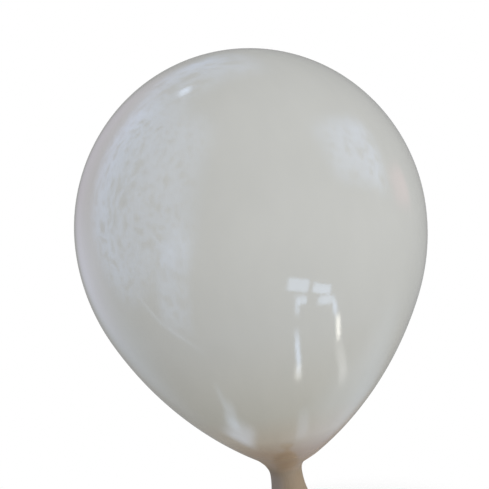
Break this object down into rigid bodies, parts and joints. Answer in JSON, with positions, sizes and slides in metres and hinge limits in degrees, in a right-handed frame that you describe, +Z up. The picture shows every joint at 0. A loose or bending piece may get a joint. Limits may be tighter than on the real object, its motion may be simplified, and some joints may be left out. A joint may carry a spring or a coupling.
{
  "type": "latex balloon",
  "caption": "Round latex party balloon, blown up and tied, with a supple waist, a neck bulb, an overhand knot and a slack tail with a rolled rim.",
  "frame": {"origin": "on the axis in the pinched throat, where the neck meets the knot and a ribbon is tied", "axes": "+Z up the balloon's axis to the crown, +X to the right and +Y away from the side that is seen; the tail's oval mouth is wide along X"},
  "size_m": [0.28, 0.28, 0.4239],
  "materials": {
    "stretched_film": "gloss",
    "crown_latex": "gloss",
    "neck_latex": "satin",
    "slack_latex": "matte",
    "rim_latex": "matte"
  },
  "bodies": {
    "neck": {"neck_tube": "neck_latex", "knot": "slack_latex"},
    "waist": {"waist": "neck_latex"},
    "balloon": {"balloon_film": "stretched_film", "crown_spot": "crown_latex"},
    "tail_root": {"tail_throat": "slack_latex"},
    "tail": {"tail_skirt": "slack_latex", "rolled_rim": "rim_latex"}
  },
  "joints": [
    {"name": "neck_nod", "type": "hinge", "parent": "neck", "child": "waist", "pos_m": [0, 0, 0.0315], "axis": [1, 0, 0], "range_deg": [-25, 25], "stiffness_Nm_per_rad": 0.03, "deforming": ["waist"]},
    {"name": "neck_rock", "type": "hinge", "parent": "waist", "child": "balloon", "pos_m": [0, 0, 0.0465], "axis": [0, 1, 0], "range_deg": [-25, 25], "stiffness_Nm_per_rad": 0.03, "deforming": ["waist"]},
    {"name": "tail_nod", "type": "hinge", "parent": "neck", "child": "tail_root", "pos_m": [0, 0, -0.0128], "axis": [1, 0, 0], "range_deg": [-50, 50], "stiffness_Nm_per_rad": 0.0006, "deforming": ["tail_throat"]},
    {"name": "tail_sway", "type": "hinge", "parent": "tail_root", "child": "tail", "pos_m": [0, 0, -0.0172], "axis": [0, 1, 0], "range_deg": [-50, 50], "stiffness_Nm_per_rad": 0.0006, "deforming": ["tail_throat"]}
  ]
}
